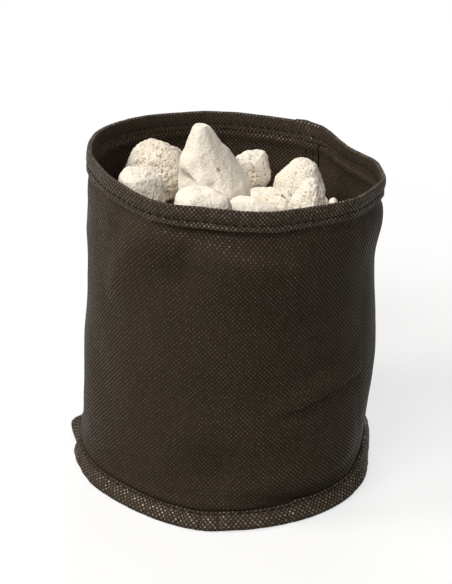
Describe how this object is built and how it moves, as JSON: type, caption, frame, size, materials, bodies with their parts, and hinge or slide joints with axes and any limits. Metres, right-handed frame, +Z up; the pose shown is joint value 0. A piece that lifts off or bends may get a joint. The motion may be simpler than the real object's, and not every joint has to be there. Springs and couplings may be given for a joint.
{
  "type": "fabric grow bag",
  "caption": "Round grow bag sewn from point-bonded cloth, with a bound rim, a lapped side seam and a bound base flange, standing open and filled with loose pumice stones.",
  "frame": {"origin": "centre of the base's underside, on the floor", "axes": "+Z up out of the mouth, -Y towards the viewer of the picture, +X to the viewer's right"},
  "size_m": [0.178, 0.1804, 0.1997],
  "materials": {
    "cloth": "matte",
    "binding": "matte",
    "thread": "matte",
    "pumice": "matte"
  },
  "bodies": {
    "bag": {"wall_panel": "cloth", "base_panel": "cloth", "rim_binding": "binding", "base_binding": "binding", "rim_stitching": "thread", "base_stitching": "thread", "side_seam_stitching": "thread", "bed_layer_1": "pumice", "bed_layer_2": "pumice", "bed_layer_3": "pumice", "bed_layer_4": "pumice", "bed_layer_5": "pumice"},
    "porous_stone": {"porous_stone": "pumice"},
    "left_front_stone": {"left_front_stone": "pumice"},
    "tall_stone": {"tall_stone": "pumice"},
    "flat_front_stone": {"flat_front_stone": "pumice"},
    "small_back_stone": {"small_back_stone": "pumice"},
    "round_front_stone": {"round_front_stone": "pumice"},
    "pitted_stone": {"pitted_stone": "pumice"},
    "right_back_stone": {"right_back_stone": "pumice"},
    "right_front_stone": {"right_front_stone": "pumice"},
    "pebble": {"pebble": "pumice"}
  },
  "joints": [
    {"name": "porous_stone_lift", "type": "slide", "parent": "bag", "child": "porous_stone", "axis": [0, 0, 1], "range_m": [0, 0.06]},
    {"name": "left_front_stone_lift", "type": "slide", "parent": "bag", "child": "left_front_stone", "axis": [0, 0, 1], "range_m": [0, 0.06]},
    {"name": "tall_stone_lift", "type": "slide", "parent": "bag", "child": "tall_stone", "axis": [0, 0, 1], "range_m": [0, 0.06]},
    {"name": "flat_front_stone_lift", "type": "slide", "parent": "bag", "child": "flat_front_stone", "axis": [0, 0, 1], "range_m": [0, 0.06]},
    {"name": "small_back_stone_lift", "type": "slide", "parent": "bag", "child": "small_back_stone", "axis": [0, 0, 1], "range_m": [0, 0.06]},
    {"name": "round_front_stone_lift", "type": "slide", "parent": "bag", "child": "round_front_stone", "axis": [0, 0, 1], "range_m": [0, 0.06]},
    {"name": "pitted_stone_lift", "type": "slide", "parent": "bag", "child": "pitted_stone", "axis": [0, 0, 1], "range_m": [0, 0.06]},
    {"name": "right_back_stone_lift", "type": "slide", "parent": "bag", "child": "right_back_stone", "axis": [0, 0, 1], "range_m": [0, 0.06]},
    {"name": "right_front_stone_lift", "type": "slide", "parent": "bag", "child": "right_front_stone", "axis": [0, 0, 1], "range_m": [0, 0.06]},
    {"name": "pebble_lift", "type": "slide", "parent": "bag", "child": "pebble", "axis": [0, 0, 1], "range_m": [0, 0.06]}
  ]
}
